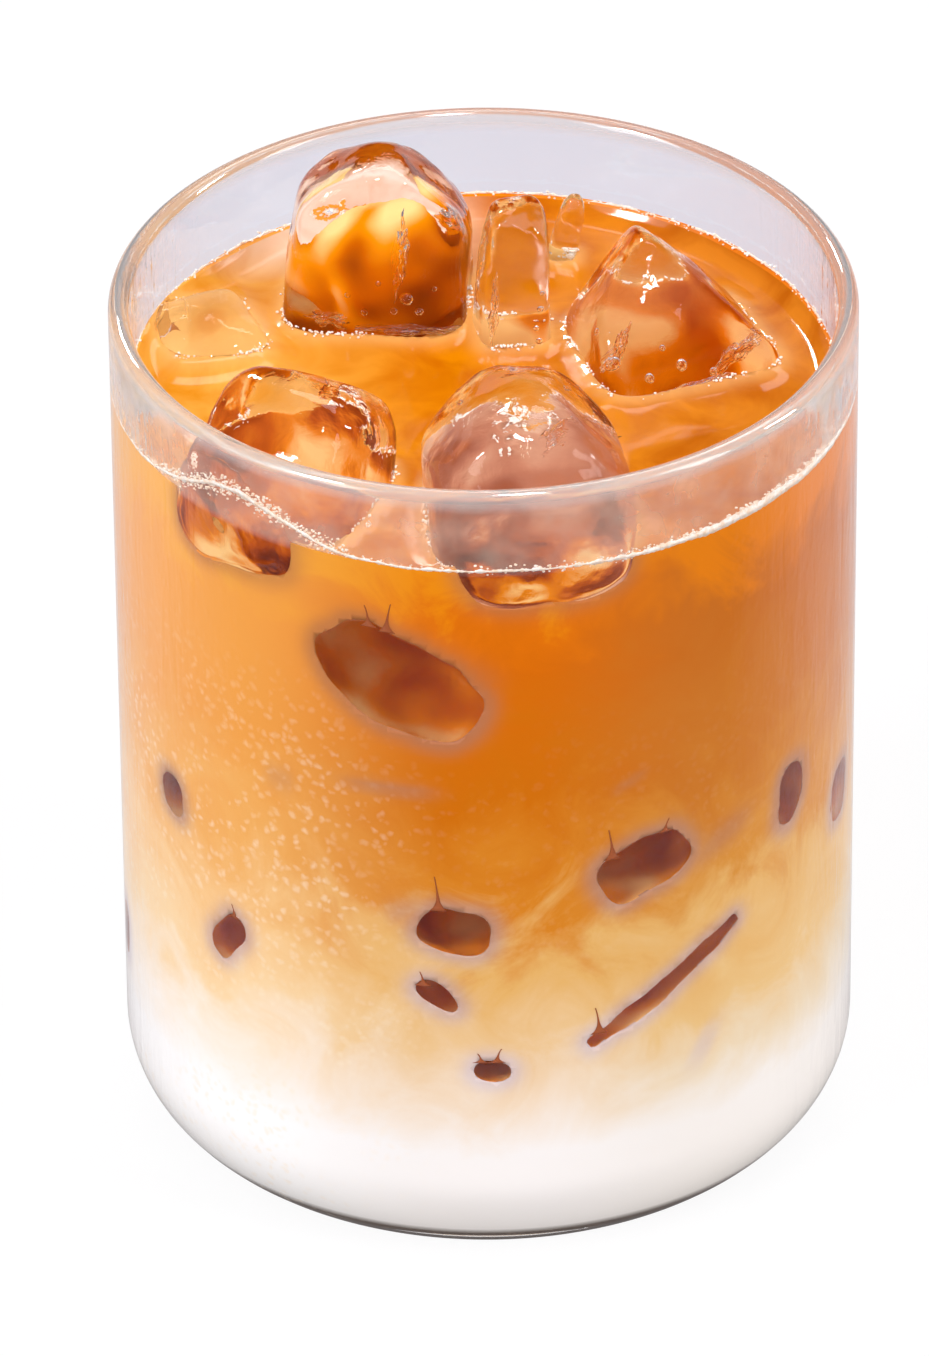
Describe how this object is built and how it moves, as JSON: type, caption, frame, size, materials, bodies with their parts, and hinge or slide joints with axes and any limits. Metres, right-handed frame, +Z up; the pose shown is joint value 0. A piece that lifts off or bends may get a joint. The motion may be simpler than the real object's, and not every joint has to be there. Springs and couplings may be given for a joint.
{
  "type": "iced latte in a glass tumbler",
  "caption": "Straight clear tumbler of milky coffee over white milk, with half-melted ice standing above the drink.",
  "frame": {"origin": "centre of the tumbler's flat underside", "axes": "+Z up along the tumbler's axis; -Y faces the side shown in the picture, with +X to its right"},
  "size_m": [0.08, 0.08, 0.1071],
  "materials": {
    "tumbler": "clear soda-lime glass, fire-polished rim",
    "milk": "white milk",
    "coffee": "milky coffee, wet and smooth",
    "ice": "clear ice, melted smooth and wet"
  },
  "bodies": {
    "root": {"tumbler": "tumbler", "milk": "milk", "coffee": "coffee", "ice_back_left": "ice", "ice_back_middle": "ice", "ice_right": "ice", "ice_left": "ice", "ice_front_left": "ice", "ice_front_middle": "ice", "ice_chip": "ice"}
  },
  "joints": []
}
